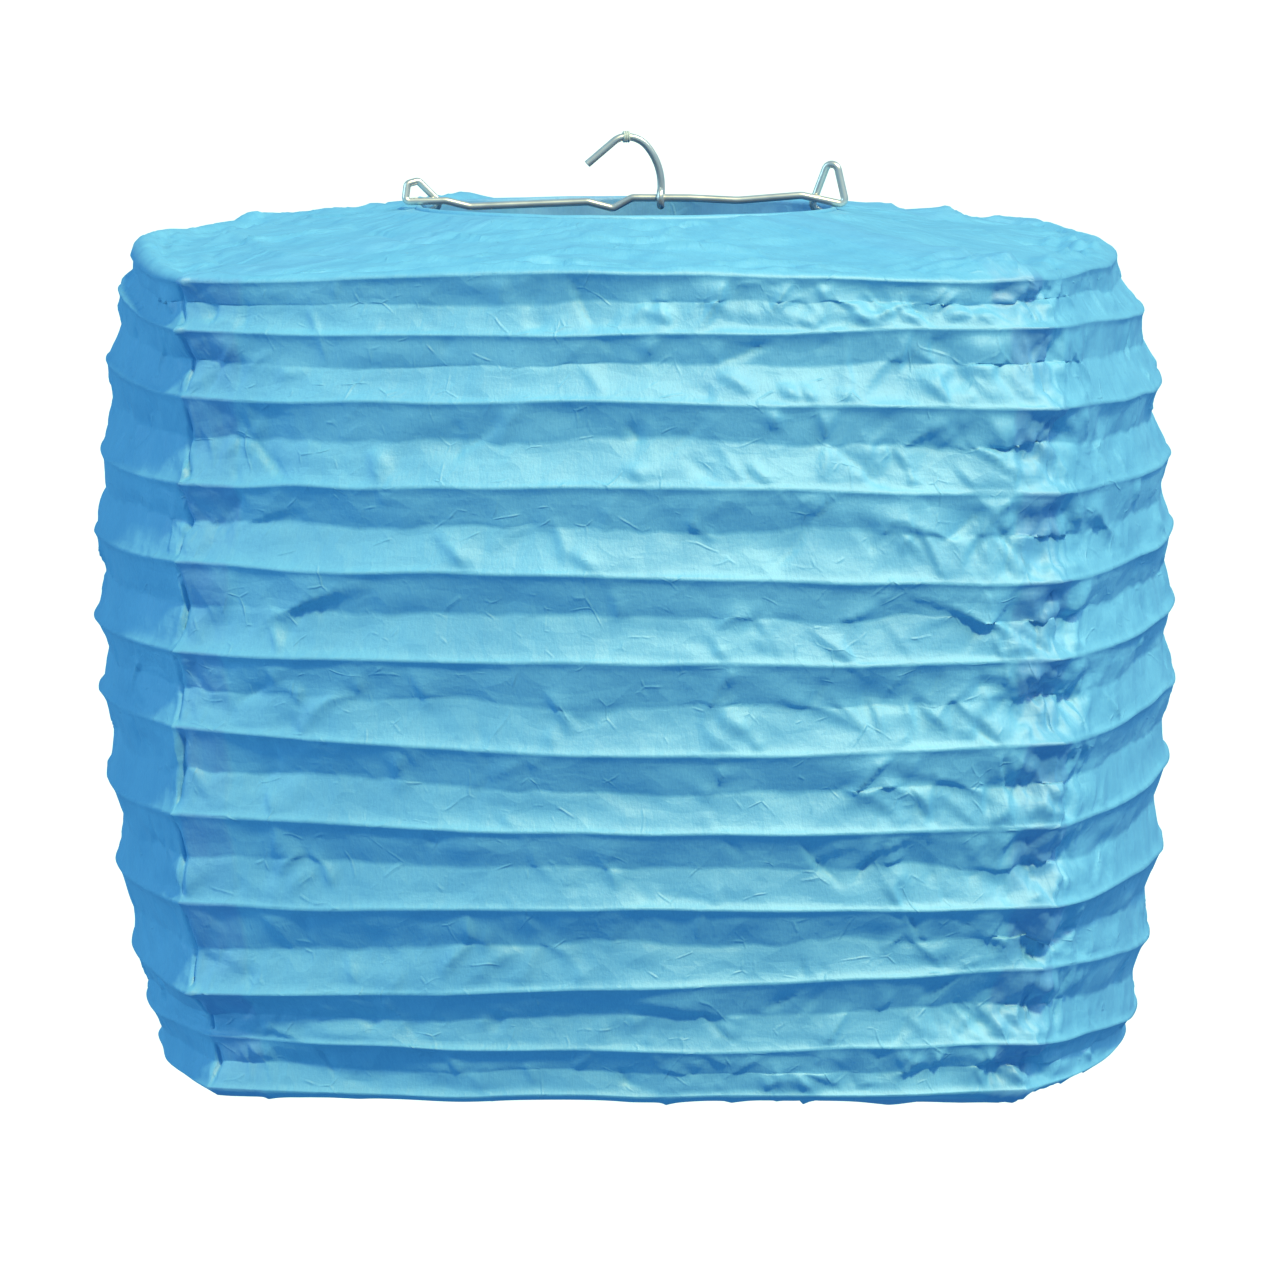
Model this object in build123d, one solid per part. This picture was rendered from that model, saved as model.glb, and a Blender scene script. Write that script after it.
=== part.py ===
"""Square accordion lantern of pleated tissue, 8 inches wide, hung from its sprung wire expander.

Lengths are in millimetres. +Z is up, the front faces -Y, and +X is to the right seen from the front.
The origin is the hook's seat: the underside of the hook's bend, where the hanging line or nail bears.
"""

import os
from math import asin, cos, degrees, radians, sin, sqrt

from build123d import *

# Overall size
WIDTH = 203.2  # over the widest pleat, mid-side to mid-side: 8 inches
RING_DROP = 13.0  # the seat down to the top ring's wire
PAPER_HEIGHT = 162.0  # top ring to bottom ring
ARC_CENTRE = 87.5  # each bowed side is an arc about a point this far beyond the lantern's axis

# Ribs: the pleats' ridges, which hold one wire hoop each
FIRST_RIB_DROP = 6.7  # top ring to the first rib
MAIN_PITCH = 15.3
UPPER_PITCHES = (9.0, 12.9)  # the ribs crowd together at the shoulders
LOWER_PITCHES = (11.9, 8.2)
MAIN_PITCH_COUNT = 7
WIDEST_DROP = 76.5  # top ring to the level where the lantern is widest
SHOULDER_LOSS = 9.0  # how much each side has drawn in, SHOULDER_SPAN from the widest level
SHOULDER_SPAN = 75.0
SHOULDER_POWER = 2.2
RIB_WIRE = 1.0
RIB_CORNER = 5.0  # bend radius at the hoop's corners

# Rings at the mouths
RING_RADIUS = 39.0  # to the middle of the wire
RING_WIRE = 1.2

# Paper walls
PAPER = 0.3
VALLEY_DEPTH = 2.5  # ridge line to valley line, at the main pitch
FLAP_FLAT = 3.5  # level band of paper round each mouth
SHOULDER_RISE = 1.2  # the paper passes this far over the end ribs' centres
SHOULDER_SET_IN = 0.5
WIRE_GAP = 0.15  # clearance between paper and any wire
MITRE_GAP = 0.1  # between neighbouring panels at the corners

# Expander
EXPANDER_WIRE = 1.4
CROSSBAR_DROP = 10.8  # seat to the middle of the crossbar
BOTTOM_BAR_DROP = 178.5
LEG_X = 34.5
END_GAP = 0.8  # between the wire's two ends, in the middle of the bottom bar

# Hanging hook
HOOK_WIRE = 1.4
EYE_CLEARANCE = 0.08
EYE_TURN = 250.0
TIP_LENGTH = 6.6
TIP_SLOPE = 39.8
TIP_RADIUS = 3.7
CROWN_RADIUS = 5.2
CROWN_TURN = 50.0
SHANK_RADIUS = 11.5

# Clear line tied round the hook
LINE = 0.4
LINE_TURNS = 3
LINE_GAP = 0.02

TOP = -RING_DROP
BOTTOM = TOP - PAPER_HEIGHT
CROWN = HOOK_WIRE / 2
CROSSBAR = -CROSSBAR_DROP


def rib_levels():
    """The height of each rib, from the top one down."""
    pitches = UPPER_PITCHES + (MAIN_PITCH,) * MAIN_PITCH_COUNT + LOWER_PITCHES
    levels = [TOP - FIRST_RIB_DROP]
    for pitch in pitches:
        levels.append(levels[-1] - pitch)
    return levels


def ridge_radius(level):
    """Radius of a side's ridge about its own arc centre, at a height."""
    from_widest = abs(level - TOP + WIDEST_DROP) / SHOULDER_SPAN
    return WIDTH / 2 - SHOULDER_LOSS * from_widest**SHOULDER_POWER + ARC_CENTRE


RIBS = [(level, ridge_radius(level)) for level in rib_levels()]


def bowed_square(radius):
    """Outline of four equal arcs, each about a centre ARC_CENTRE beyond the axis."""
    corner = (sqrt(2 * radius**2 - ARC_CENTRE**2) - ARC_CENTRE) / 2
    middle = radius - ARC_CENTRE
    front = ThreePointArc((-corner, -corner), (0, -middle), (corner, -corner))
    return make_face([Rot(0, 0, 90 * side) * front for side in range(4)])


def wire_along(path, diameter):
    """A round wire along a path."""
    start = Plane(origin=path @ 0, z_dir=path % 0)
    return sweep(start * Circle(diameter / 2), path=path)


def rib_hoop(level, radius):
    """One rib: a square hoop with bowed sides, just inside the pleat's ridge."""
    inset = PAPER + WIRE_GAP + RIB_WIRE / 2
    outline = bowed_square(radius - inset)
    rounded = fillet(outline.vertices(), RIB_CORNER)
    return Pos(0, 0, level) * wire_along(rounded.wire(), RIB_WIRE)


def mouth_ring(level):
    """The round wire at a mouth, which the paper is glued over."""
    return Pos(0, 0, level) * Torus(RING_RADIUS, RING_WIRE / 2)


def pleat_line(inset, shoulder_rise, flap_shift):
    """Radius and height of a wall's surface from mouth to mouth, set in from the outer face by inset."""
    flat = ARC_CENTRE + RING_RADIUS + FLAP_FLAT
    under_ring = flat - 18
    ring_levels = (TOP + flap_shift, BOTTOM - flap_shift)
    set_in = inset + SHOULDER_SET_IN - (SHOULDER_RISE - shoulder_rise) / 6
    (first, first_radius), (last, last_radius) = RIBS[0], RIBS[-1]
    line = [(under_ring, ring_levels[0]), (flat, ring_levels[0])]
    line.append((first_radius - set_in, first + shoulder_rise))
    for (level, radius), (next_level, next_radius) in zip(RIBS, RIBS[1:]):
        line.append((radius - inset, level))
        depth = VALLEY_DEPTH * (level - next_level) / MAIN_PITCH
        valley = (radius + next_radius) / 2 - depth - inset
        line.append((valley, (level + next_level) / 2))
    line.append((last_radius - inset, last))
    line.append((last_radius - set_in, last - shoulder_rise))
    line += [(flat, ring_levels[1]), (under_ring, ring_levels[1])]
    return line


def front_panel():
    """One pleated wall with its share of the top and bottom flaps, cut on the mitres and round the mouths."""
    outer = pleat_line(0, SHOULDER_RISE, PAPER / 2)
    inner = pleat_line(PAPER, SHOULDER_RISE - PAPER, -PAPER / 2)
    corners = [(0, ARC_CENTRE - radius, level) for radius, level in outer + inner[::-1]]
    section = make_face(Polyline(*corners, close=True))
    arc_axis = Axis((0, ARC_CENTRE, 0), (0, 0, 1))
    sweep_angle = 70
    wall = revolve(section.rotate(arc_axis, -sweep_angle / 2), arc_axis, sweep_angle)
    tip = -MITRE_GAP / sqrt(2)
    reach = WIDTH
    wedge = make_face(Polyline((0, tip), (reach, tip - reach), (-reach, tip - reach), close=True))
    wall = wall & (Pos(0, 0, BOTTOM - 10) * extrude(wedge, PAPER_HEIGHT + 20))
    mouth = RING_RADIUS + RING_WIRE / 2 + WIRE_GAP
    return wall - Pos(0, 0, (TOP + BOTTOM) / 2) * Cylinder(mouth, PAPER_HEIGHT + 20)


def expander():
    """One bent wire: crossbar, an ear and a catch each side of the top ring, legs, knees and bottom bar."""
    bar = -BOTTOM_BAR_DROP
    behind = EXPANDER_WIRE + 0.3  # the ears' inner legs pass behind the crossbar's ends
    path = [
        # point, bend radius
        ((END_GAP / 2, 0, bar), None),
        ((33.5, 0, bar), 1.2),
        ((34.3, 0, bar + 3.0), 1.4),
        ((43.0, 0, bar + 6.9), 1.0),  # right knee, which presses the bottom ring down
        ((LEG_X, 0.4, bar + 12.0), 2.0),
        ((LEG_X, behind, CROSSBAR - 10.4), 2.0),
        ((41.4, 1.5, CROSSBAR - 5.4), 1.0),  # right catch, under the top ring
        ((34.8, behind, CROSSBAR - 1.6), 1.2),
        ((38.9, 1.3, CROSSBAR + 9.4), 1.3),  # right ear
        ((41.4, 0, CROSSBAR - 1.2), 0.9),  # from here the crossbar passes over the top ring
        ((33.0, 0, CROSSBAR + 0.6), 3.0),
        ((21.0, 0, CROSSBAR - 0.4), 12.0),
        ((12.0, 0, CROSSBAR), 12.0),
        ((1.1, 0, CROSSBAR), 1.6),
        ((-2.5, 0, CROSSBAR - 2.0), 1.2),  # the kink that keeps the hook near the middle
        ((-7.2, 0, CROSSBAR - 0.8), 2.0),
        ((-29.4, 0, CROSSBAR - 1.8), 3.0),
        ((-34.0, 0, CROSSBAR - 0.7), 3.0),
        ((-41.7, 0, CROSSBAR - 0.9), 0.8),
        ((-41.3, 0.8, CROSSBAR + 2.4), 0.8),  # left ear, flat-topped and lower than the right one
        ((-39.3, 1.4, CROSSBAR + 2.9), 0.8),
        ((-34.8, behind, CROSSBAR - 1.6), 1.2),
        ((-41.4, 1.5, CROSSBAR - 5.4), 1.0),
        ((-LEG_X, behind, CROSSBAR - 10.4), 2.0),
        ((-LEG_X, 0.4, bar + 12.0), 2.0),
        ((-43.0, 0, bar + 6.9), 1.0),
        ((-34.3, 0, bar + 3.0), 1.4),
        ((-33.5, 0, bar), 1.2),
        ((-END_GAP / 2, 0, bar), None),
    ]
    points = [point for point, _ in path]
    bends = [bend for _, bend in path[1:-1]]
    return wire_along(FilletPolyline(*points, radius=bends), EXPANDER_WIRE)


def hook_plane():
    """The upright plane of the hook's bend, turned so that the shank comes down behind the crossbar."""
    eye_radius = (HOOK_WIRE + EXPANDER_WIRE) / 2 + EYE_CLEARANCE
    turn = asin(eye_radius / shank_offset())
    return Plane(origin=(0, 0, 0), x_dir=(cos(turn), sin(turn), 0), z_dir=(sin(turn), -cos(turn), 0)), turn


def shank_offset():
    """Crown to shank, in the hook's own plane."""
    bend = radians(CROWN_TURN)
    return CROWN_RADIUS * sin(bend) + SHANK_RADIUS * (1 - sin(bend))


def hook():
    """The hanging hook: an open tip, a rounded crown, a shank and an eye closed round the crossbar."""
    plane, turn = hook_plane()
    slope = radians(TIP_SLOPE)
    bend_start = (-TIP_RADIUS * sin(slope), CROWN - TIP_RADIUS * (1 - cos(slope)))
    tip = (bend_start[0] - TIP_LENGTH * cos(slope), bend_start[1] - TIP_LENGTH * sin(slope))
    straight = Line(tip, bend_start)
    rise = JernArc(bend_start, straight % 1, TIP_RADIUS, -TIP_SLOPE)
    crown = JernArc(rise @ 1, rise % 1, CROWN_RADIUS, -CROWN_TURN)
    fall = JernArc(crown @ 1, crown % 1, SHANK_RADIUS, CROWN_TURN - 90)
    shank = Line(fall @ 1, ((fall @ 1).X, CROSSBAR))
    eye_radius = (HOOK_WIRE + EXPANDER_WIRE) / 2 + EYE_CLEARANCE
    eye_plane = Plane.YZ.offset(shank_offset() * cos(turn))
    eye = eye_plane * CenterArc((0, CROSSBAR), eye_radius, 0, -EYE_TURN)
    bend = [plane * edge for edge in (straight, rise, crown, fall, shank)]
    return wire_along(Wire([*(part.edge() for part in bend), eye.edge()]), HOOK_WIRE)


def line_wrap():
    """Turns of clear line round the hook's crown."""
    _, turn = hook_plane()
    turns = []
    for n in range(LINE_TURNS):
        along = (n - (LINE_TURNS - 1) / 2) * (LINE + LINE_GAP)
        loop = Torus(HOOK_WIRE / 2 + LINE_GAP + LINE / 2, LINE / 2)
        turns.append(Rot(0, 0, degrees(turn)) * Pos(along, 0, CROWN) * Rot(0, 90, 0) * loop)
    return Compound(turns)


def main():
    os.makedirs("parts", exist_ok=True)
    plain = front_panel()
    parts = {
        "hanging_hook": hook(),
        "line_wrap": line_wrap(),
        "wire_expander": expander(),
        "top_ring": mouth_ring(TOP),
        "bottom_ring": mouth_ring(BOTTOM),
        "paper_panel_front": plain,
        "paper_panel_right": Rot(0, 0, 90) * plain,
        "paper_panel_back": Rot(0, 0, 180) * plain,
        "paper_panel_left": Rot(0, 0, -90) * plain,
    }
    for number, (level, radius) in enumerate(RIBS, 1):
        parts[f"rib_{number:02d}"] = rib_hoop(level, radius)
    for node, shape in parts.items():
        export_step(shape, f"parts/{node}.step")


main()
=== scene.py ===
"""Looks of the square accordion paper lantern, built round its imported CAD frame.

Lengths are in millimetres, in the frame's own axes, and are written to Blender in metres.
The tissue of the four walls is worked out as one sheet. A place on it is a column, going round past the
front, right, back and left walls, and a row, going down from the top mouth to the bottom one.
"""

import math

import bpy
import numpy as np
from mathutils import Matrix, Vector


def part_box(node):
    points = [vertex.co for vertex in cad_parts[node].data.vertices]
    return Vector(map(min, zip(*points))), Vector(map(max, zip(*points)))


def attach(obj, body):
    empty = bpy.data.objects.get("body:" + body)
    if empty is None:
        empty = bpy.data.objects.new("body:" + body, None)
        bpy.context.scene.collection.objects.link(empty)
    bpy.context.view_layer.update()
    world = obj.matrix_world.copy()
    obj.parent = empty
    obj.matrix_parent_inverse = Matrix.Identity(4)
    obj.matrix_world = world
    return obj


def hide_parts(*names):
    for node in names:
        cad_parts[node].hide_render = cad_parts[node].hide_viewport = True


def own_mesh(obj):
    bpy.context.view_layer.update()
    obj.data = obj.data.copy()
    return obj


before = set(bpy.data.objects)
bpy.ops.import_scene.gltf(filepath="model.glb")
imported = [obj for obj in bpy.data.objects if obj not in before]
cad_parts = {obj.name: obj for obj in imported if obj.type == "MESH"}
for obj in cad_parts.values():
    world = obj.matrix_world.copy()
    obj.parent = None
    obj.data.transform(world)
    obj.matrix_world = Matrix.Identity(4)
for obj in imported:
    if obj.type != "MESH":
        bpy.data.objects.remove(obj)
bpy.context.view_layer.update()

MM = 0.001
WALLS = ("front", "right", "back", "left")
RIB_NODES = [f"rib_{n:02d}" for n in range(1, 13)]

# From the CAD
PAPER_OVER_WIRE = 0.45  # the ridge stands this far outside the hoop's wire
ARC_CENTRE = 87.5  # each wall's arcs are centred this far beyond the lantern's axis
RIB_WIRE = 1.0
RING_RADIUS = 39.0
RING_WIRE = 1.2
MAIN_PITCH = 15.3


def node_mm(node):
    low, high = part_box(node)
    return np.array(low) / MM, np.array(high) / MM


def middle_z(node):
    low, high = node_mm(node)
    return (low[2] + high[2]) / 2


TOP = middle_z("top_ring")
BOTTOM = middle_z("bottom_ring")
RIB_Z = np.array([middle_z(node) for node in RIB_NODES])
RIDGE = np.array([node_mm(node)[1][0] for node in RIB_NODES]) + PAPER_OVER_WIRE + ARC_CENTRE

# The sheet's grid
WALL_COLUMNS = 300
PLEAT_ROWS = 22
FLAP_ROWS = 60
BASE_ROWS = 14
COLUMN_CROWDING = 0.12  # towards the corners
ROW_CROWDING = 0.4  # towards the ridges and valleys
WALL_LENGTH = 190.0  # nominal, corner to corner
ROUND_LENGTH = 4 * WALL_LENGTH

# Places round the lantern are counted in walls from the front left corner, or in millimetres.
# Lists of four corners go round the same way: front left, front right, back right, back left.
RIGHT_WALL, LEFT_WALL = 1.5, 3.5

# How this hand-made lantern departs from the drawing
LEAN_TOP, LEAN_BOTTOM = 0.6, 3.2  # sideways, at the first and last rib
# For each hoop, from the top: how far it is bent up at its front left corner, front, front right corner,
# right wall and left wall, then how far its front left corner, front right corner and right wall are set out
HOOP_BENDS = (
    (-0.5, 2.6, 0.0, -2.0, -1.5, 2.5, 2.4, -2.0),
    (-0.5, 0.5, 1.0, -3.0, 1.5, 1.0, 2.6, 0.7),
    (0.0, 1.5, -1.0, -3.5, 1.5, -2.6, 2.8, 2.0),
    (-0.5, 1.5, -1.0, -2.0, 0.0, -3.5, 1.0, 1.3),
    (0.5, 0.5, -2.0, 0.0, 0.0, -3.0, 0.5, 0.5),
    (-0.5, 0.0, -1.0, 1.5, 0.0, -2.0, -0.5, 0.0),
    (1.0, -1.5, -1.0, 2.0, 0.5, -1.5, 0.5, 0.0),
    (0.0, -0.5, -1.0, 2.0, 0.0, -0.5, -0.3, 0.0),
    (-1.0, 0.5, -0.5, 1.0, 0.0, 0.0, 0.6, 0.0),
    (-2.5, 1.0, 2.5, -1.0, -0.5, 1.5, -0.8, 0.0),
    (1.0, 1.0, 0.5, -3.0, 0.0, -1.0, 0.4, 0.0),
    (-0.5, 0.5, 0.0, 0.5, 0.0, 2.5, 0.0, 0.0),
)
CORNER_BEND_REACH = 24.0
WALL_BEND_REACH = 0.4  # in walls
UNSEEN_BEND = 1.5  # the most that a hoop is bent on its unseen sides
BACK_DROP = 2.7  # the top hoop's unseen side hangs this much lower, and each one below it half as much
HOOP_WAVES_OUT = (36, 0.25)  # small bends in and out: how many round the hoop, and their size
HOOP_WAVES_UP = (52, 0.16)
END_HOOP_SHIFT = 0.2  # the first and last hoops lie this far inside the level of their ridges
WIRE_CLEARANCE = 0.5  # more than the CAD's, for the paper's dents
MOUTH_TILT = math.radians(1.9)  # the top mouth's far side is the lower one

# Flaps
FLAP_SAG = 0.6
PUFF, PUFF_PLACE, PUFF_REACH = 0.9, 2.4, 2.6  # the paper stands up this far, beside its rim
LEFT_PUFF, LEFT_PUFF_PLACE, LEFT_PUFF_REACH = 1.8, 3.55, 0.3  # and more so at the left wall, in walls round

# Pleats
VALLEY_PLACE = 0.47  # share of the way from one ridge down to the next
VALLEY_DRIFT, VALLEY_RIPPLE = 0.028, 0.012
VALLEY_DEPTH = 2.15
CLOSE_PITCH_ALLOWANCE = 2.0  # a close pleat is shallower, by its pitch and this over the main pitch
DEPTH_DRIFT = 0.18
CORNER_DEPTHS = (0.5, 2.4, 2.0, 2.0)  # the valleys go this much further in at each corner
CORNER_REACH = 8.0
PLEAT_WIDTH = 170.0
UPPER_CURVE, LOWER_CURVE = 0.9, 0.72  # a strip is straight at 1 and hollow under it
LEFT_TAUTNESS, LEFT_TAUT_REACH = 0.12, 0.5  # the left wall's pleats are the shallowest
BEAD = 0.3  # the ridge stands proud of its pleats where the wire fills it
BEAD_WIDTH = 0.7

# The paper beside a wire it is glued to
PLEAT_HOLD, FLAP_HOLD = 1.6, 2.8  # its dents fade to nothing over this distance
PLEAT_CLEAR, FLAP_CLEAR = 1.5, 3.5  # up to here it is let in by DENT_LIMIT only, and beyond at DENT_SLOPE
DENT_LIMIT, DENT_SLOPE = 0.12, 0.9

# Mouths
HEM_THICKNESS = 0.12
EDGE_GAP, EDGE_RISE = 0.06, 0.1  # the sheet's edge lies outside the hem and past the ring's middle
HEM_DEPTH = 3.6
HEM_COLUMNS = 360

# Doubled bands, where two panels are glued, whose darker tint is also used as painted shade
LAP_CENTRES = (6.5, -2.5, -2.5, -2.5)  # from each corner, those above 0 past it
LAP_HALF_WIDTH = 6.0
LAP_RAGGEDNESS, LAP_EDGE = 0.9, 0.22
LAP_STEP = 0.2  # height of the band's edge
LAP_ON_FLAP = 0.3  # how much of the band shows on the flap
LOWER_LAP, LOWER_LAP_FADE = 0.45, 0.35  # painted shade: the doubled tint shows at this share on a lit lower strip, at its valley, and this much less at its ridge, and in full on the shaded upper strips

# Crumpled corners
CRUMPLE_SLOPE = 0.38  # of the dented cells, at the harshest corner
CRUMPLE_CELL = 8.0
CRUMPLE_REACH = 12.5
CELL_MIDDLE = 0.4  # the height taken off a cell, as a share of its reach
CORNER_HARSHNESS = (0.25, 1.0, 0.75, 0.7)
SEAM_PINCH = (1.1, 0.5, 0.7, 0.7)  # the seam down each corner is pinched in this far
SEAM_WIDTH = 0.7
SEAM_WANDER = 0.8
# A wall's width at the mouths, how much wider it gets, and how far from each mouth it is at its widest
MOUTH_WIDTH, EXTRA_WIDTH, FULL_FROM_TOP, FULL_FROM_BOTTOM = 62.0, 120.0, 50.0, 45.0
# Small knuckles where a hoop's corner stands out: the rib from the top, the distance round, how far out
KNUCKLES = ((1, 1.2, 0.8), (2, 0.2, 0.8), (10, 1.0, 0.5))
KNUCKLE_SPREAD = 1.4  # square millimetres

# Large creases that are placed one by one. In each, the two ends and then how far the fold stands out.
# On the top flap's rim, an end is the distance round and the distance above the rim
RIM_TUCKS = (
    ((160.0, 3.2), (190.0, 2.0), 1.3),
    ((168.0, 6.0), (195.0, 5.2), 1.0),
    ((-14.0, 6.5), (10.0, 2.5), 0.9),
    ((40.0, 5.0), (110.0, 12.0), 0.7),
)
# On the pleats, numbered from the top, an end is the distance round and the share of the pleat's height
LONG_FOLDS = (
    (5, (18.0, 0.80), (47.0, 0.12), 1.3),
    (5, (156.0, 0.18), (184.0, 0.78), 1.2),
    (3, (168.0, 0.35), (183.0, 0.80), 0.9),
    (4, (150.0, 0.30), (171.0, 0.62), 0.9),
    (6, (128.0, 0.42), (150.0, 0.80), 0.8),
    (7, (154.0, 0.30), (178.0, 0.70), 0.8),
    (10, (96.0, 0.30), (126.0, 0.62), 0.8),
    (4, (12.0, 0.60), (30.0, 0.30), 0.6),
    (2, (203.0, 0.25), (214.0, 0.80), 1.1),
    (4, (200.0, 0.20), (222.0, 0.72), 1.1),
)


def bell(offset, reach):
    """Falls from 1 at no offset to 0.37 at its reach."""
    return np.exp(-((offset / reach) ** 2))


def periodic(nodes, at):
    """A smooth closed curve through evenly spaced values, one period being 4."""
    nodes = np.asarray(nodes, float)
    place = at * len(nodes) / 4
    cell = np.floor(place).astype(int)
    t = place - cell
    a, b, c, d = (nodes[(cell + k) % len(nodes)] for k in (-1, 0, 1, 2))
    return b + 0.5 * t * (c - a + t * (2 * a - 5 * b + 4 * c - d + t * (3 * (b - c) + d - a)))


def eased(x):
    """Runs from 0 to 1 with closer steps at both ends."""
    return x - ROW_CROWDING * np.sin(2 * math.pi * x) / (2 * math.pi)


def plan_points(radius, along):
    """Where a wall's arc of this radius passes, in the front wall's axes, for along from -1 to 1."""
    corner = (np.sqrt(2 * radius**2 - ARC_CENTRE**2) - ARC_CENTRE) / 2
    swing = np.arcsin(corner / radius) * along
    return radius * np.sin(swing), ARC_CENTRE - radius * np.cos(swing)


class Sheet:
    """The whole tissue as arrays of rows by columns, the columns closed round the lantern."""

    def __init__(self, seed):
        self.rng = np.random.default_rng(seed)
        self.lay_columns()
        self.bend_hoops()
        self.lay_rows()
        self.place()
        self.crumple()

    def waves(self, count, size):
        """A random closed curve round the lantern."""
        return periodic(self.rng.normal(0, size, count), self.round)

    def noise(self, cell_across, cell_down):
        """Smooth noise of about unit height over the sheet, closed round the lantern."""
        count = round(ROUND_LENGTH / cell_across)
        grid = self.rng.normal(0, 1, (count, int(np.ptp(self.down) / cell_down) + 4))
        u = self.across[None, :] * count / ROUND_LENGTH
        v = (self.down - self.down.min())[:, None] / cell_down
        i, j = np.floor(u).astype(int), np.floor(v).astype(int)
        fu, fv = u - i, v - j
        fu, fv = fu * fu * (3 - 2 * fu), fv * fv * (3 - 2 * fv)
        near = grid[i % count, j] * (1 - fv) + grid[i % count, j + 1] * fv
        far = grid[(i + 1) % count, j] * (1 - fv) + grid[(i + 1) % count, j + 1] * fv
        return near * (1 - fu) + far * fu

    # The plain shape

    def lay_columns(self):
        even = np.linspace(-1, 1, WALL_COLUMNS + 1)[:-1]
        self.along = np.tile(even + COLUMN_CROWDING * np.sin(math.pi * even), 4)
        wall = np.repeat(np.arange(4), WALL_COLUMNS)
        self.round = wall + (self.along + 1) / 2
        self.across = self.round * WALL_LENGTH
        self.turn = np.radians(90.0 * wall)
        self.nearest_corner = np.round(self.round).astype(int) % 4

    def at_corners(self, values):
        """The value of the nearest corner, for every column."""
        return np.array(values)[self.nearest_corner]

    def bend_hoops(self):
        """How far each hoop is bent up, and set out, at every column."""
        self.lift, self.set_out = [], []
        fallen = 1.0
        for left, front, right, right_wall, left_wall, left_out, right_out, wall_out in HOOP_BENDS:
            unseen = self.rng.uniform(-UNSEEN_BEND, UNSEEN_BEND, 3) * (1 - fallen) - BACK_DROP * fallen
            fallen /= 2
            lift = periodic((left, front, right, right_wall, *unseen, left_wall), self.round)
            out = wall_out * bell(self.round - RIGHT_WALL, WALL_BEND_REACH)
            unseen_out = self.rng.uniform(-UNSEEN_BEND, UNSEEN_BEND, 2)
            for corner, shift in enumerate((left_out, right_out, *unseen_out)):
                from_corner = np.abs((self.round - corner + 2) % 4 - 2) * WALL_LENGTH
                out += shift * bell(from_corner, CORNER_BEND_REACH)
            self.set_out.append(out + self.waves(*HOOP_WAVES_OUT))
            self.lift.append(lift + self.waves(*HOOP_WAVES_UP))

    def lay_rows(self):
        """For each row: which strip it is in, the rib above it, and the share of the way down the strip."""
        last = len(RIB_Z) - 1
        strip_rows = PLEAT_ROWS // 2
        rows = [("flap", 0, share) for share in eased(np.arange(FLAP_ROWS) / FLAP_ROWS)]
        for rib in range(last):
            for strip in ("upper", "lower"):
                rows += [(strip, rib, share) for share in eased(np.arange(strip_rows) / strip_rows)]
        rows.append(("upper", last, 0.0))
        rows += [("base", last, share) for share in eased(np.arange(1, BASE_ROWS + 1) / BASE_ROWS)]
        self.rows = rows
        self.ridge_rows = [i for i, (strip, _, share) in enumerate(rows) if strip == "upper" and share == 0]

    def lean(self, z):
        """The sheet's sideways drift at a height."""
        share = (RIB_Z[0] - z) / (RIB_Z[0] - RIB_Z[-1])
        return LEAN_TOP + (LEAN_BOTTOM - LEAN_TOP) * share

    def turned(self, x, y, z):
        """Points given in their own walls' axes, turned into the lantern's."""
        cosine, sine = np.cos(self.turn), np.sin(self.turn)
        return np.stack([x * cosine - y * sine, x * sine + y * cosine, z], -1)

    def at_radius(self, radius, z, drift):
        x, y = plan_points(radius, self.along)
        point = self.turned(x, y, z)
        point[:, 0] += drift
        return point

    def ridge(self, rib, inset=0.0):
        """Points along a rib's ridge, or along the wire inside it."""
        z = RIB_Z[rib] + self.lift[rib]
        return self.at_radius(RIDGE[rib] + self.set_out[rib] - inset, z, self.lean(RIB_Z[rib]))

    def mouth(self, level, side):
        """Where the sheet meets a mouth's ring: side is 1 at the top and -1 at the bottom."""
        swing = np.radians(45.0) * self.along
        radius = RING_RADIUS + RING_WIRE / 2 + HEM_THICKNESS + EDGE_GAP
        z = np.full(len(swing), level + EDGE_RISE * side)
        point = self.turned(radius * np.sin(swing), -radius * np.cos(swing), z)
        if side > 0:
            point[:, 2] -= point[:, 1] * math.tan(MOUTH_TILT)
        return point

    def flap_row(self, rib, share, mouth, up):
        """A row of the sloping paper between a mouth, at share 0, and the end rib."""
        rim = self.ridge(rib)
        point = mouth * (1 - share) + rim * share
        to_rib = np.linalg.norm(rim - mouth, axis=1) * (1 - share)
        over_left_wall = bell(self.round - LEFT_PUFF_PLACE, LEFT_PUFF_REACH) if up > 0 else 0
        puff = PUFF + LEFT_PUFF * over_left_wall
        sag = FLAP_SAG * math.sin(math.pi * share)
        point[:, 2] += up * puff * bell(to_rib - PUFF_PLACE, PUFF_REACH) - sag
        return point

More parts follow.
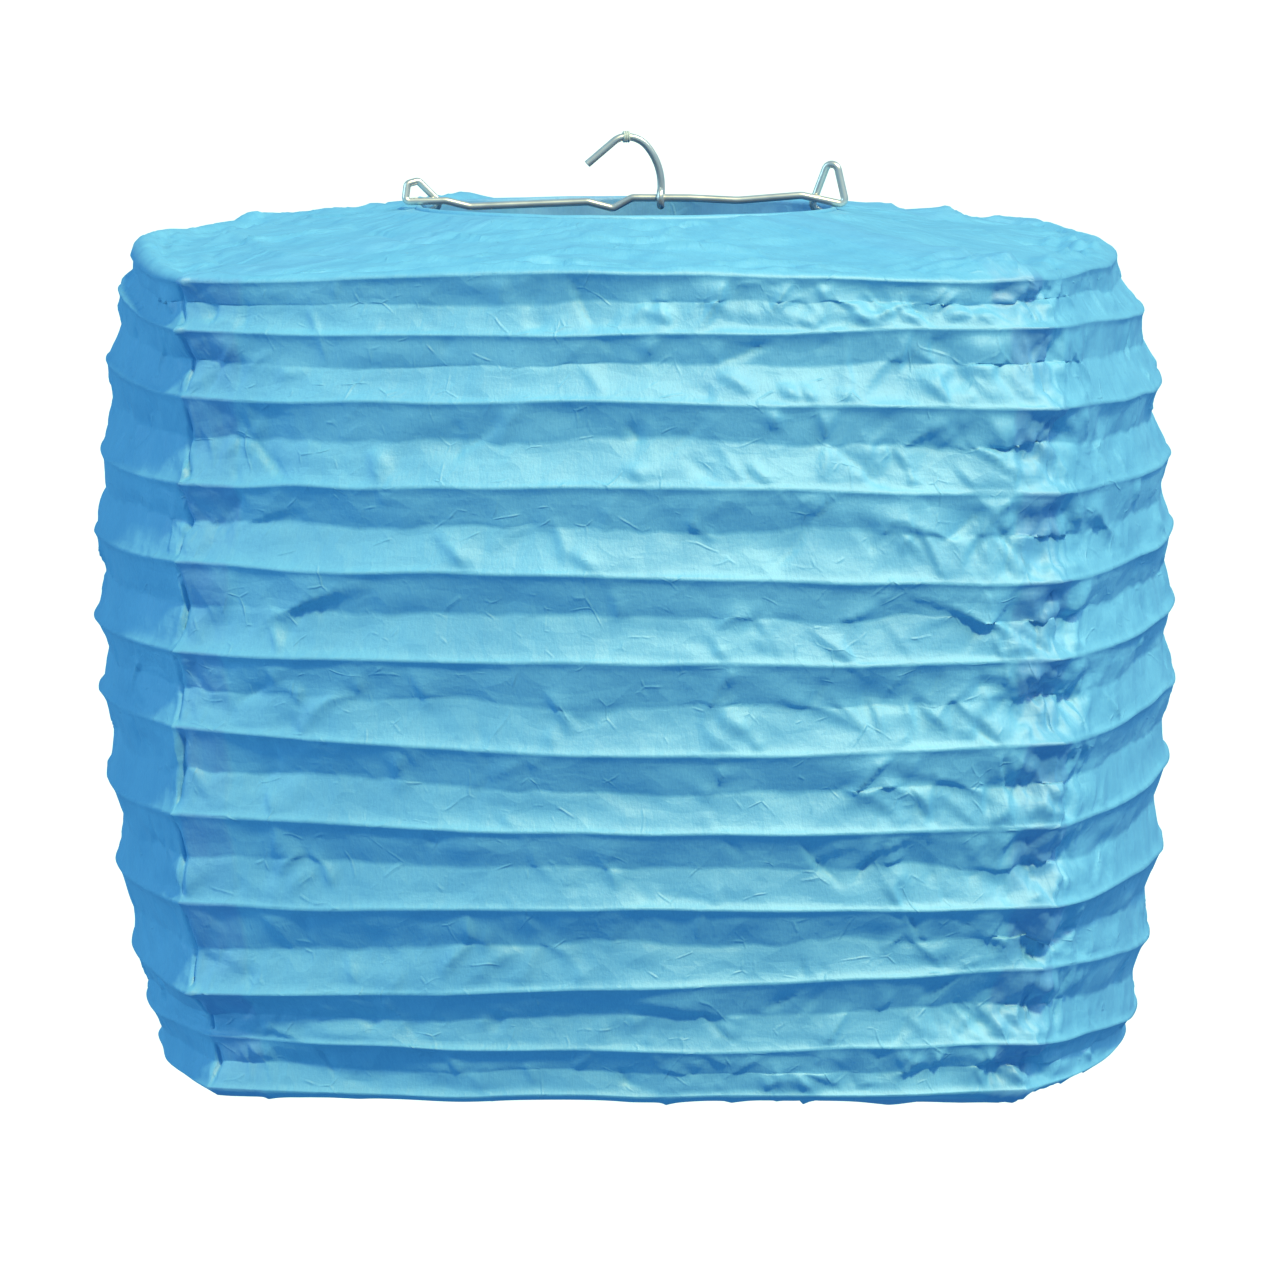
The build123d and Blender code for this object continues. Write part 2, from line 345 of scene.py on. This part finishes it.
    def pleat_row(self, rib, strip, share):
        """A row between two ridges: the upper strip leans in under its rib, the lower one leans out."""
        below = min(rib + 1, len(RIB_Z) - 1)
        pitch = RIB_Z[rib] - RIB_Z[below]
        valley = VALLEY_PLACE + VALLEY_DRIFT * self.valley_drift[rib]
        valley = valley + VALLEY_RIPPLE * self.valley_ripple[rib]
        if strip == "upper":
            down = valley * share
            in_share = share**UPPER_CURVE
        else:
            down = valley + (1 - valley) * share
            in_share = (1 - share) ** LOWER_CURVE
        near_corner = bell(PLEAT_WIDTH * (1 - np.abs(self.along)) / 2, CORNER_REACH)
        depth = VALLEY_DEPTH + self.at_corners(CORNER_DEPTHS) * near_corner
        depth = depth * min(1.0, (pitch + CLOSE_PITCH_ALLOWANCE) / MAIN_PITCH)
        taut = np.exp(-(((self.round - LEFT_WALL) / LEFT_TAUT_REACH) ** 4))
        depth *= (1 + DEPTH_DRIFT * self.depth_drift[rib]) * (1 - LEFT_TAUTNESS * taut)
        bead = BEAD * (bell(down * pitch, BEAD_WIDTH) + bell((1 - down) * pitch, BEAD_WIDTH))
        upper, lower = RIDGE[rib] + self.set_out[rib], RIDGE[below] + self.set_out[below]
        radius = upper * (1 - down) + lower * down - depth * in_share - BEAD + np.minimum(bead, BEAD)
        z_upper, z_lower = RIB_Z[rib] + self.lift[rib], RIB_Z[below] + self.lift[below]
        z = z_upper * (1 - down) + z_lower * down
        return self.at_radius(radius, z, self.lean(RIB_Z[rib] * (1 - down) + RIB_Z[below] * down))

    def place(self):
        """The sheet's points before it is crumpled, and each row's distance down the sheet."""
        self.valley_drift = [self.waves(48, 1) for _ in RIB_Z]
        self.valley_ripple = [self.waves(200, 1) for _ in RIB_Z]
        self.depth_drift = [self.waves(40, 1) for _ in RIB_Z]
        points = []
        for strip, rib, share in self.rows:
            if strip == "flap":
                points.append(self.flap_row(rib, share, self.mouth(TOP, 1), 1))
            elif strip == "base":
                points.append(self.flap_row(rib, 1 - share, self.mouth(BOTTOM, -1), -1))
            else:
                points.append(self.pleat_row(rib, strip, share))
        self.points = np.array(points)
        middle = self.points[:, WALL_COLUMNS // 2]
        steps = np.linalg.norm(np.diff(middle, axis=0), axis=1)
        self.down = np.concatenate([[0], np.cumsum(steps)])
        self.ridge_down = self.down[self.ridge_rows]
        self.rim, self.last_ridge = self.ridge_down[0], self.ridge_down[-1]
        self.pleated = ((self.down > self.rim) & (self.down < self.last_ridge))[:, None]

    def normals(self):
        around = np.roll(self.points, -1, 1) - np.roll(self.points, 1, 1)
        down = np.gradient(self.points, axis=0)
        normal = np.cross(down, around)
        return normal / np.maximum(np.linalg.norm(normal, axis=2, keepdims=True), 1e-9)

    # Places for creases, each drawn at random: the distance round and the distance down

    def anywhere(self):
        pleat = self.rng.integers(0, len(self.ridge_down) - 1)
        top, bottom = self.ridge_down[pleat : pleat + 2]
        across = self.rng.uniform(0, ROUND_LENGTH)
        return across, top + (bottom - top) * np.clip(self.rng.normal(0.58, 0.2), 0.05, 0.95)

    def to_the_right(self):
        _, down = self.anywhere()
        return WALL_LENGTH * (1 - abs(self.rng.normal(0, 0.3))), down

    def by_corner(self):
        across = self.rng.integers(0, 4) * WALL_LENGTH + self.rng.normal(0, 10)
        return across, self.rng.uniform(self.rim, self.last_ridge)

    def by_right_corner(self):
        return WALL_LENGTH + self.rng.normal(-2, 9), self.rng.uniform(self.rim, self.last_ridge)

    def on_flap(self):
        return self.rng.uniform(0, ROUND_LENGTH), self.rng.uniform(3, self.rim - 2)

    def on_rim(self):
        return self.rng.uniform(0, ROUND_LENGTH), self.rim - self.rng.uniform(1.5, 9)

    # Creases and dents, as heights above the plain sheet

    def patch(self, across, down, reach):
        """The part of the grid round a place: its row and column numbers and its offsets from there."""
        gap = (self.across - across + ROUND_LENGTH / 2) % ROUND_LENGTH - ROUND_LENGTH / 2
        columns = np.nonzero(np.abs(gap) < reach)[0]
        rows = np.nonzero(np.abs(self.down - down) < reach)[0]
        return np.ix_(rows, columns), gap[columns][None, :], (self.down[rows] - down)[:, None]

    def crease(self, height, start, end, lift, sharp, soft):
        """A fold line from one place to another, with a sharp drop on one side and a soft one on the other."""
        along, across = end[0] - start[0], end[1] - start[1]
        length = math.hypot(along, across)
        along, across = along / length, across / length
        middle = ((start[0] + end[0]) / 2, (start[1] + end[1]) / 2)
        where, x, y = self.patch(*middle, length / 2 + 3 * soft)
        run = 2 * (x * along + y * across) / length
        bow = 0.05 * length * (1 - run**2) * math.copysign(1, lift)
        off = y * along - x * across + bow
        fade = np.clip(1 - run**2, 0, 1)
        width = np.where(off > 0, sharp, soft) * (0.35 + 0.65 * fade)
        height[where] += lift * fade * np.exp(-np.abs(off) / width)

    def folds(self, height, count, zone, lengths, angles, lifts, branch=0.5):
        """Many small creases at places drawn from a zone, some of them going on at a bend."""
        rng = self.rng
        for _ in range(count):
            start = zone()
            length = rng.uniform(*lengths)
            angle = rng.uniform(*angles) * rng.choice((-1, 1))
            lift = rng.uniform(*lifts) * rng.choice((-1, 1, 1))
            sharp = rng.uniform(0.45, 0.7)
            soft = sharp * rng.uniform(2.5, 7)
            end = (start[0] + length * math.cos(angle), start[1] + length * math.sin(angle))
            self.crease(height, start, end, lift, sharp, soft)
            if rng.random() < branch:
                angle += rng.choice((-1, 1)) * rng.uniform(0.5, 1.3)
                length *= rng.uniform(0.4, 0.9)
                onward = (end[0] + length * math.cos(angle), end[1] + length * math.sin(angle))
                self.crease(height, end, onward, lift * 0.8, sharp, soft)

    def placed_folds(self, height):
        """The large creases."""
        for pleat, (from_across, from_share), (to_across, to_share), lift in LONG_FOLDS:
            top = self.ridge_down[pleat - 1]
            deep = self.ridge_down[pleat] - top
            start, end = (from_across, top + deep * from_share), (to_across, top + deep * to_share)
            self.crease(height, start, end, lift, 0.8, 3.0)
        for (from_across, from_rim), (to_across, to_rim), lift in RIM_TUCKS:
            start, end = (from_across, self.rim - from_rim), (to_across, self.rim - to_rim)
            self.crease(height, start, end, lift, 0.7, 3.0)

    def cells(self, count, zone, reach):
        """Dented cells with straight sides: the distance to the nearest of many places, up to the reach."""
        nearest = np.full(self.points.shape[:2], reach)
        for _ in range(count):
            where, x, y = self.patch(*zone(), reach * 1.5)
            slant = self.rng.uniform(-0.9, 0.9)
            far = np.abs(0.75 * x + slant * y) + np.abs(y - 0.4 * slant * x)
            nearest[where] = np.minimum(nearest[where], far)
        return nearest

    def corner_gap(self):
        """The distance from the nearest corner."""
        widening = [min(1, d / FULL_FROM_TOP, (self.down[-1] - d) / FULL_FROM_BOTTOM) for d in self.down]
        wide = MOUTH_WIDTH + EXTRA_WIDTH * np.array(widening)
        return (1 - np.abs(self.along))[None, :] / 2 * wide[:, None]

    def held_down(self, height):
        """The height kept to 0 at the ridges and mouths, where glue holds the paper to the wire.

        Beside a wire the paper isn't let in far enough to meet it."""
        held = np.array([*self.ridge_down, self.down[0], self.down[-1]])
        nearest = np.min(np.abs(self.down[:, None] - held[None]), axis=1)[:, None]
        height = height * (1 - bell(nearest, np.where(self.pleated, PLEAT_HOLD, FLAP_HOLD)))
        beyond = np.clip(nearest - np.where(self.pleated, PLEAT_CLEAR, FLAP_CLEAR), 0, None)
        return np.maximum(height, -DENT_LIMIT - DENT_SLOPE * beyond)

    def crumple(self):
        """Undulation, creases and crumpled corners, raised along the sheet's normals."""
        height = 0.16 * self.noise(30, 6) + 0.15 * self.noise(11, 3.5)
        height = height + 0.05 * self.noise(3.4, 2.6)
        # How many, where, and their lengths, angles and heights
        self.folds(height, 560, self.anywhere, (4, 13), (0.35, 1.35), (0.3, 0.9))
        self.folds(height, 190, self.to_the_right, (5, 16), (0.25, 1.2), (0.5, 1.2))
        self.folds(height, 300, self.by_corner, (4, 14), (0.2, 1.4), (0.2, 0.55))
        self.folds(height, 130, self.by_right_corner, (4, 13), (0.3, 1.5), (0.35, 0.95))
        self.folds(height, 110, self.on_flap, (18, 70), (0.0, 0.15), (0.5, 1.3), branch=0.2)
        self.folds(height, 260, self.on_rim, (5, 22), (0.0, 0.5), (0.3, 0.8))
        self.placed_folds(height)

        gap = self.corner_gap()
        past_corner = np.where(self.along[None, :] < 0, gap, -gap)
        cells = self.cells(440, self.by_corner, CRUMPLE_CELL)
        slope = CRUMPLE_SLOPE * self.at_corners(CORNER_HARSHNESS)[None, :] * bell(gap, CRUMPLE_REACH)
        height += slope * (cells - CELL_MIDDLE * CRUMPLE_CELL)
        wander = SEAM_WANDER * self.noise(40, 5)
        pinch = self.at_corners(SEAM_PINCH)[None, :] * self.pleated
        height -= pinch * bell(past_corner + wander, SEAM_WIDTH)
        height = self.held_down(height)
        for rib, place, out in KNUCKLES:
            where, x, y = self.patch(place, self.ridge_down[rib - 1], 5)
            height[where] += out * np.exp(-(x**2 + y**2) / KNUCKLE_SPREAD)

        lap = self.doubled(past_corner)
        height = height + self.held_down(LAP_STEP * lap)
        # Painted shade: the doubled band's darker tint is kept in full on the shaded upper strips and weakened
        # on the lit lower strips; it is also weakened on the flap
        lower = np.array([strip == "lower" for strip, _, _ in self.rows])
        share = np.array([share for _, _, share in self.rows])
        lap_shade_share = np.where(lower, LOWER_LAP - LOWER_LAP_FADE * eased(share), 1.0)
        lap_shade_share = lap_shade_share * np.clip((self.down - self.rim) / 2 + 1, LAP_ON_FLAP, 1)
        self.lap = lap * lap_shade_share[:, None]
        self.points = self.points + self.normals() * height[..., None]

    def doubled(self, past_corner):
        """Where two layers of tissue are glued: beside each corner, mostly on one wall."""
        ragged = LAP_RAGGEDNESS * self.noise(40, 9)
        beyond = np.abs(past_corner - self.at_corners(LAP_CENTRES)[None, :]) - LAP_HALF_WIDTH + ragged
        return 1 / (1 + np.exp(beyond / LAP_EDGE))


# Meshes


def grid_mesh(name, points, closed=False):
    """A mesh over rows by columns of points."""
    rows, columns = points.shape[:2]
    mesh = bpy.data.meshes.new(name)
    mesh.vertices.add(rows * columns)
    mesh.vertices.foreach_set("co", (points * MM).astype(np.float32).ravel())
    across = columns if closed else columns - 1
    row = np.repeat(np.arange(rows - 1), across) * columns
    column = np.tile(np.arange(across), rows - 1)
    beside = (column + 1) % columns
    below = row + columns
    quads = np.stack([row + column, below + column, below + beside, row + beside], 1)
    mesh.loops.add(quads.size)
    mesh.loops.foreach_set("vertex_index", quads.astype(np.int32).ravel())
    mesh.polygons.add(len(quads))
    mesh.polygons.foreach_set("loop_start", np.arange(0, quads.size, 4, dtype=np.int32))
    mesh.polygons.foreach_set("use_smooth", np.ones(len(quads), bool))
    mesh.update(calc_edges=True)
    mesh.validate()
    return mesh


def loop_mesh(name, path, radius, sides=10):
    """A round wire along a closed path of points."""
    ahead = np.roll(path, -1, 0) - np.roll(path, 1, 0)
    ahead /= np.linalg.norm(ahead, axis=1, keepdims=True)
    beside = np.cross(ahead, np.array([0.0, 0.0, 1.0]))
    beside /= np.linalg.norm(beside, axis=1, keepdims=True)
    above = np.cross(beside, ahead)
    turn = np.linspace(0, 2 * math.pi, sides, endpoint=False)[:, None, None]
    rings = path[None] + radius * (np.cos(turn) * beside[None] + np.sin(turn) * above[None])
    return grid_mesh(name, np.concatenate([rings, rings[:1]]), closed=True)


def paper_places(mesh, across, down, lap):
    """What the tissue's material reads: each point's place on the sheet, and how much darker tint it gets, for
    doubled paper and as painted shade.
    """
    place = np.zeros((len(down), len(across), 3), np.float32)
    place[..., 0] = across[None, :]
    place[..., 1] = down[:, None]
    mesh.attributes.new("sheet", "FLOAT_VECTOR", "POINT").data.foreach_set("vector", place.ravel())
    mesh.attributes.new("lap", "FLOAT", "POINT").data.foreach_set("value", lap.astype(np.float32).ravel())


def add_object(name, mesh, material):
    piece = bpy.data.objects.new(name, mesh)
    bpy.context.scene.collection.objects.link(piece)
    mesh.materials.append(material)
    return piece


# Materials


class Look:
    """A new material, and the kinds of node that the materials here are made of."""

    def __init__(self, name):
        self.material = bpy.data.materials.new(name)
        self.material.use_nodes = True
        self.nodes = self.material.node_tree.nodes
        self.shader = self.nodes["Principled BSDF"]

    def link(self, output, socket):
        self.material.node_tree.links.new(output, socket)

    def set(self, **values):
        """Sets the shader's inputs, named in lower case with underscores."""
        names = {socket.name.lower().replace(" ", "_"): socket for socket in self.shader.inputs}
        for name, value in values.items():
            names[name].default_value = value

    def noise(self, scale, detail=2.0, roughness=0.5, vector=None):
        made = self.nodes.new("ShaderNodeTexNoise")
        made.inputs["Scale"].default_value = scale
        made.inputs["Detail"].default_value = detail
        made.inputs["Roughness"].default_value = roughness
        if vector:
            self.link(vector, made.inputs["Vector"])
        return made

    def ramp(self, value, dark, light, low=0.0, high=1.0):
        made = self.nodes.new("ShaderNodeValToRGB")
        for element, position, colour in zip(made.color_ramp.elements, (low, high), (dark, light)):
            element.position = position
            element.color = (*colour, 1)
        self.link(value, made.inputs["Fac"])
        return made.outputs["Color"]

    def mixed(self, kind, share, first, second):
        made = self.nodes.new("ShaderNodeMix")
        made.data_type, made.blend_type = "RGBA", kind
        for name, value in (("Factor", share), ("A", first), ("B", second)):
            if isinstance(value, bpy.types.NodeSocket):
                self.link(value, made.inputs[name])
            else:
                made.inputs[name].default_value = value
        return made.outputs["Result"]

    def times(self, first, second, added=None):
        """The product of a value and a value or number, with another value added."""
        made = self.nodes.new("ShaderNodeMath")
        made.operation = "MULTIPLY_ADD" if added else "MULTIPLY"
        self.link(first, made.inputs[0])
        if isinstance(second, bpy.types.NodeSocket):
            self.link(second, made.inputs[1])
        else:
            made.inputs[1].default_value = second
        if added:
            self.link(added, made.inputs[2])
        return made.outputs["Value"]

    def attribute(self, name):
        made = self.nodes.new("ShaderNodeAttribute")
        made.attribute_name = name
        return made


def tissue_material():
    """Cerulean mulberry tissue: fibres running down the sheet, cloudy dye, darker where it is doubled, and the
    same darker tint painted as shade on the shaded upper strips and inside the mouths' hems.
    """
    look = Look("tissue_paper")
    look.set(roughness=0.6, ior=1.6, specular_ior_level=1.0, coat_weight=0.4, coat_roughness=0.62)
    place = look.attribute("sheet").outputs["Vector"]

    def noise(scale, detail, stretch=(1, 1, 1), roughness=0.6):
        stretched = look.nodes.new("ShaderNodeMapping")
        stretched.inputs["Scale"].default_value = stretch
        look.link(place, stretched.inputs["Vector"])
        return look.noise(scale, detail, roughness, stretched.outputs["Vector"]).outputs["Fac"]

    cloud = look.ramp(noise(0.045, 4), (0.125, 0.46, 0.74), (0.165, 0.53, 0.80), 0.3, 0.7)
    fibre_noise = noise(1.5, 4, (1.5, 0.42, 1), 0.7)
    fibres = look.ramp(fibre_noise, (0.84, 0.90, 0.95), (1.10, 1.05, 1.02), 0.35, 0.68)
    fleck = look.ramp(noise(1.0, 2, (1.1, 0.5, 1)), (1, 1, 1), (0.86, 0.93, 0.98), 0.66, 0.74)
    single = look.mixed("MULTIPLY", 0.7, look.mixed("MULTIPLY", 0.8, cloud, fibres), fleck)
    doubled = look.mixed("MULTIPLY", 1.0, single, (0.84, 0.74, 0.88, 1))
    # The doubled tint also paints shade: the lap attribute keeps it full on shaded upper strips, weaker on lit
    # lower strips, and full inside the hems
    patchy = look.ramp(noise(0.12, 3), (0.45, 0.45, 0.45), (1, 1, 1), 0.3, 0.6)
    lap_and_painted_shade = look.times(look.attribute("lap").outputs["Fac"], patchy)
    colour = look.mixed("MIX", lap_and_painted_shade, single, doubled)
    look.link(colour, look.shader.inputs["Base Color"])

    # Bump: straight cracks in a few places, small facets, and fibre
    drifted = look.nodes.new("ShaderNodeVectorMath")
    drifted.operation = "MULTIPLY_ADD"
    drifted.inputs[1].default_value = (0.10, 0.13, 1.0)
    look.link(place, drifted.inputs[0])
    look.link(look.noise(0.05, vector=place).outputs["Color"], drifted.inputs[2])
    cracks = look.nodes.new("ShaderNodeTexVoronoi")
    cracks.feature = "DISTANCE_TO_EDGE"
    cracks.inputs["Scale"].default_value = 1.0
    look.link(drifted.outputs["Vector"], cracks.inputs["Vector"])
    facets = look.nodes.new("ShaderNodeTexVoronoi")
    facets.distance = "MANHATTAN"
    facets.inputs["Scale"].default_value = 1.1
    look.link(drifted.outputs["Vector"], facets.inputs["Vector"])
    line = look.ramp(cracks.outputs["Distance"], (1, 1, 1), (0, 0, 0), 0.0, 0.04)
    few = look.ramp(noise(0.16, 2), (0, 0, 0), (1, 1, 1), 0.53, 0.66)
    fine = look.times(noise(1.3, 4, (1.4, 0.6, 1)), 0.55, noise(0.28, 5, (1, 1.6, 1)))
    faceted = look.times(facets.outputs["Distance"], 2.2, fine)
    bump = look.nodes.new("ShaderNodeBump")
    bump.inputs["Strength"].default_value = 0.7
    bump.inputs["Distance"].default_value = 0.2 * MM
    look.link(look.times(look.mixed("MULTIPLY", 1.0, line, few), 0.9, faceted), bump.inputs["Height"])
    look.link(bump.outputs["Normal"], look.shader.inputs["Normal"])

    # A little light comes through the paper
    through = look.nodes.new("ShaderNodeBsdfTranslucent")
    look.link(colour, through.inputs["Color"])
    look.link(bump.outputs["Normal"], through.inputs["Normal"])
    both = look.nodes.new("ShaderNodeMixShader")
    both.inputs["Fac"].default_value = 0.08
    look.link(look.shader.outputs["BSDF"], both.inputs[1])
    look.link(through.outputs["BSDF"], both.inputs[2])
    look.link(both.outputs["Shader"], look.nodes["Material Output"].inputs["Surface"])
    return look.material


def wire_material():
    """Bright drawn steel wire with a little tarnish."""
    look = Look("steel_wire")
    look.set(metallic=0.75)
    place = look.nodes.new("ShaderNodeTexCoord").outputs["Object"]
    noise = look.noise(260, detail=3, vector=place).outputs["Fac"]
    look.link(look.ramp(noise, (0.64, 0.60, 0.55), (0.88, 0.84, 0.78)), look.shader.inputs["Base Color"])
    rough = look.nodes.new("ShaderNodeMapRange")
    rough.inputs["To Min"].default_value = 0.26
    rough.inputs["To Max"].default_value = 0.38
    look.link(noise, rough.inputs["Value"])
    look.link(rough.outputs["Result"], look.shader.inputs["Roughness"])
    return look.material


def line_material():
    """Clear nylon line, a little milky."""
    look = Look("clear_line")
    look.set(roughness=0.2, transmission_weight=0.35, ior=1.53)
    tint = look.ramp(look.noise(1500).outputs["Fac"], (0.78, 0.80, 0.74), (0.93, 0.94, 0.90))
    look.link(tint, look.shader.inputs["Base Color"])
    return look.material


def floor_material():
    """White studio floor."""
    look = Look("floor")
    look.set(roughness=0.9)
    tint = look.ramp(look.noise(3).outputs["Fac"], (0.90, 0.90, 0.90), (0.94, 0.94, 0.94))
    look.link(tint, look.shader.inputs["Base Color"])
    return look.material


TISSUE = tissue_material()
WIRE = wire_material()
LINE = line_material()
SHEET = Sheet(seed=8)


# Pieces


def add_wall(number, name):
    """One wall of tissue, standing for its CAD panel."""
    steps = number * WALL_COLUMNS + np.arange(WALL_COLUMNS + 1)
    columns = steps % len(SHEET.along)
    points = SHEET.points[:, columns]
    mesh = grid_mesh(f"tissue_{name}", points)
    paper_places(mesh, np.append(SHEET.across, ROUND_LENGTH)[steps], SHEET.down, SHEET.lap[:, columns])
    piece = add_object(f"tissue_{name}", mesh, TISSUE)
    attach(piece, "frame")
    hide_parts(f"paper_panel_{name}")
    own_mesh(piece)


def add_hoop(rib, node):
    """One rib wire, bent as its ridge is, with its corners rounded."""
    path = SHEET.ridge(rib, PAPER_OVER_WIRE + RIB_WIRE / 2 + WIRE_CLEARANCE)
    path[:, 2] += END_HOOP_SHIFT * ((rib == len(RIB_Z) - 1) - (rib == 0))
    weights = np.hanning(13)[1:-1]
    spread = len(weights) // 2
    ring = np.concatenate([path[-spread:], path, path[:spread]])
    smooth = np.stack([np.convolve(ring[:, axis], weights / weights.sum(), "valid") for axis in range(3)], 1)
    name = f"hoop_{rib + 1:02d}"
    piece = add_object(name, loop_mesh(name, smooth[::4], RIB_WIRE / 2), WIRE)
    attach(piece, node)
    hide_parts(node)
    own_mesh(piece)


def ring_turn():
    """Angles evenly round a mouth."""
    return np.linspace(0, 2 * math.pi, HEM_COLUMNS, endpoint=False)


def mouth_level(side, level, turn):
    """The height of a mouth's ring: the top one is tilted."""
    return level - RING_RADIUS * np.sin(turn) * math.tan(MOUTH_TILT) * (side > 0)


def add_mouth_wire(side, level, body, node):
    """The wire that a mouth's tissue is glued over."""
    turn = ring_turn()
    x, y = RING_RADIUS * np.cos(turn), RING_RADIUS * np.sin(turn)
    ring = np.stack([x, y, mouth_level(side, level, turn)], 1)
    wire = add_object(f"mouth_wire_{body}", loop_mesh("mouth_wire", ring[::3], RING_WIRE / 2), WIRE)
    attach(wire, body)
    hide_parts(node)


def add_hem(side, level, body):
    """The tissue turned over a mouth's wire and glued down inside, with an uneven edge, its inside given the
    doubled tint as painted shade.
    """
    rng = np.random.default_rng(3 + side)
    turn = ring_turn()
    wave = sum(rng.normal(0, 0.3) * np.sin(n * turn + rng.uniform(0, 6)) for n in range(3, 26, 2))
    edge = HEM_DEPTH + 0.5 * wave
    roll = RING_WIRE / 2 + HEM_THICKNESS
    profile = []
    for share in (1.0, 0.66, 0.33, 0.1):
        profile.append((RING_RADIUS - roll - 0.1 * share + 0.12 * wave * share, -edge * share))
    for angle in np.radians(np.linspace(180, 0, 9)):
        out, up = (roll + 0.02 * wave) * math.cos(angle), (roll + 0.03 * wave) * math.sin(angle)
        profile.append((RING_RADIUS + out, up))
    ring_z = mouth_level(side, level, turn)
    points = [np.stack([r * np.cos(turn), r * np.sin(turn), ring_z + side * h], 1) for r, h in profile]
    mesh = grid_mesh("hem", np.array(points), closed=True)
    # The rows turned inside the mouth get the doubled paper's darker tint in full, as painted shade inside the
    # mouth
    inside = np.repeat(np.linspace(1, 0, len(profile)) > 0.4, len(turn))
    paper_places(mesh, turn * RING_RADIUS, np.linspace(0, 8, len(profile)), inside)
    hem = add_object(f"hem_{body}", mesh, TISSUE)
    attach(hem, body)


for number, name in enumerate(WALLS):
    add_wall(number, name)
for rib, node in enumerate(RIB_NODES):
    add_hoop(rib, node)
for side, level, body, node in ((1, TOP, "frame", "top_ring"), (-1, BOTTOM, "bottom_ring", "bottom_ring")):
    add_mouth_wire(side, level, body, node)
    add_hem(side, level, body)

for node, material in (("hanging_hook", WIRE), ("wire_expander", WIRE), ("line_wrap", LINE)):
    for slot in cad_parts[node].material_slots:
        slot.material = material


# Stage, light and camera

CAMERA_DISTANCE = 2584.0
CAMERA_LENS, CAMERA_SENSOR = 385.0, 36.0
CAMERA_AZIMUTH, CAMERA_ELEVATION = 3.0, 6.4
AIM = (2.6, 0.0, -94.5)
FLOOR_Z = -450.0
FLOOR_REACH = 12000.0


def direction(azimuth, elevation):
    """The way from the lantern towards these angles, the azimuth going from the front towards +X."""
    azimuth, elevation = math.radians(azimuth), math.radians(elevation)
    level = math.cos(elevation)
    return Vector((math.sin(azimuth) * level, -math.cos(azimuth) * level, math.sin(elevation)))


def add_stage():
    """A floor that is seen but gives the lantern no light, as a dark studio floor gives none."""
    reach, z = FLOOR_REACH * MM, FLOOR_Z * MM
    corners = [(-reach, -reach, z), (reach, -reach, z), (reach, reach, z), (-reach, reach, z)]
    mesh = bpy.data.meshes.new("floor")
    mesh.from_pydata(corners, [], [(0, 1, 2, 3)])
    floor = add_object("floor", mesh, floor_material())
    floor.visible_diffuse = floor.visible_glossy = floor.visible_transmission = False


def add_sun(name, azimuth, elevation, softness, power, colour):
    """A studio light far enough off to fall evenly."""
    data = bpy.data.lights.new(name, "SUN")
    data.energy, data.angle, data.color = power, math.radians(softness), colour
    light = bpy.data.objects.new(name, data)
    bpy.context.scene.collection.objects.link(light)
    light.rotation_euler = (-direction(azimuth, elevation)).to_track_quat("-Z", "Y").to_euler()


def add_camera():
    data = bpy.data.cameras.new("camera")
    data.lens, data.sensor_width = CAMERA_LENS, CAMERA_SENSOR
    data.clip_start, data.clip_end = 0.1, 20
    camera = bpy.data.objects.new("camera", data)
    bpy.context.scene.collection.objects.link(camera)
    away = direction(CAMERA_AZIMUTH, CAMERA_ELEVATION)
    camera.location = (Vector(AIM) + away * CAMERA_DISTANCE) * MM
    camera.rotation_euler = (-away).to_track_quat("-Z", "Y").to_euler()
    bpy.context.scene.camera = camera


def light_room():
    """A warm high key light, weaker ones from both sides, and a blue surround."""
    world = bpy.data.worlds.new("room")
    bpy.context.scene.world = world
    world.use_nodes = True
    background = world.node_tree.nodes["Background"]
    background.inputs["Color"].default_value = (0.29, 0.90, 1.56, 1)
    background.inputs["Strength"].default_value = 0.34
    add_sun("key", 26, 50, 6, 3.05, (1.0, 0.92, 0.42))
    add_sun("left fill", -76, 22, 40, 1.0, (0.55, 0.93, 1.0))
    add_sun("right fill", 76, 48, 30, 1.6, (0.85, 0.97, 0.85))


add_stage()
light_room()
add_camera()
bpy.context.scene.view_settings.view_transform = "Standard"
